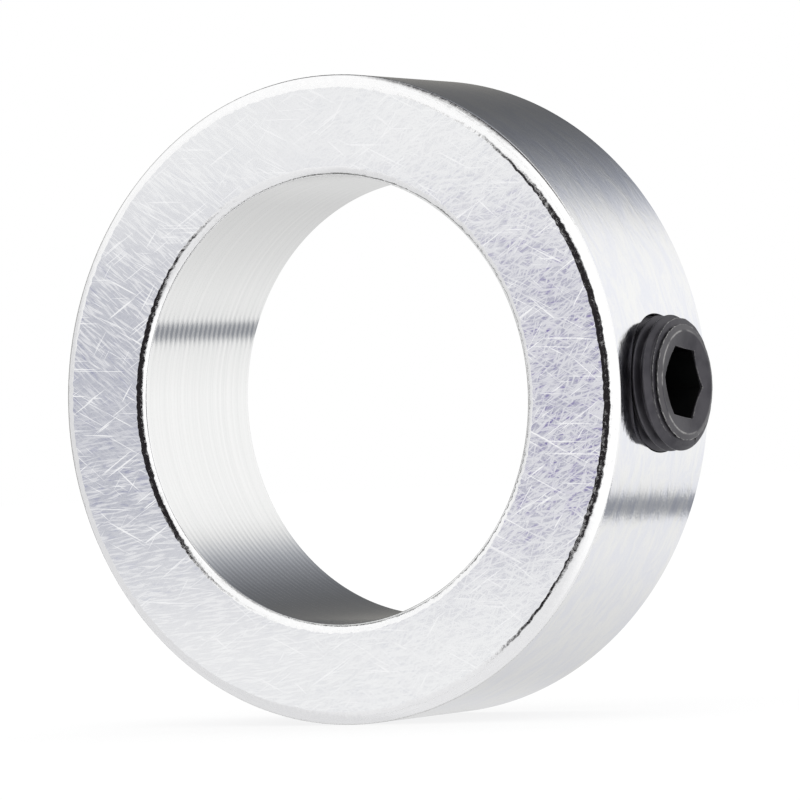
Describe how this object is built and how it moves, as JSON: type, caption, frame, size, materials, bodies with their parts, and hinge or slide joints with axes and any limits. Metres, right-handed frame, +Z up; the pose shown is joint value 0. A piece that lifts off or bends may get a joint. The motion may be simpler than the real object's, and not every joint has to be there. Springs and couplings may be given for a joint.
{
  "type": "shaft collar",
  "caption": "Solid steel ring that is slid onto a shaft and locked there by a radial hexagon socket set screw with a cup point.",
  "frame": {"origin": "centre of the bore, on its axis and half way along the ring's width", "axes": "Y along the bore axis with -Y out of the front face, +X along the set screw's axis out of the ring, +Z up"},
  "size_m": [0.0603, 0.018, 0.058],
  "materials": {
    "zinc_plated_steel": "turned and scratched steel with bright zinc plating",
    "black_oxide_steel": "satin black oxide on alloy steel"
  },
  "bodies": {
    "collar": {"collar_ring": "zinc_plated_steel"},
    "locking_screw": {"set_screw": "black_oxide_steel"}
  },
  "joints": [
    {"name": "screw_travel", "type": "slide", "parent": "collar", "child": "locking_screw", "axis": [1, 0, 0], "range_m": [-0.00125, 0.005]}
  ]
}
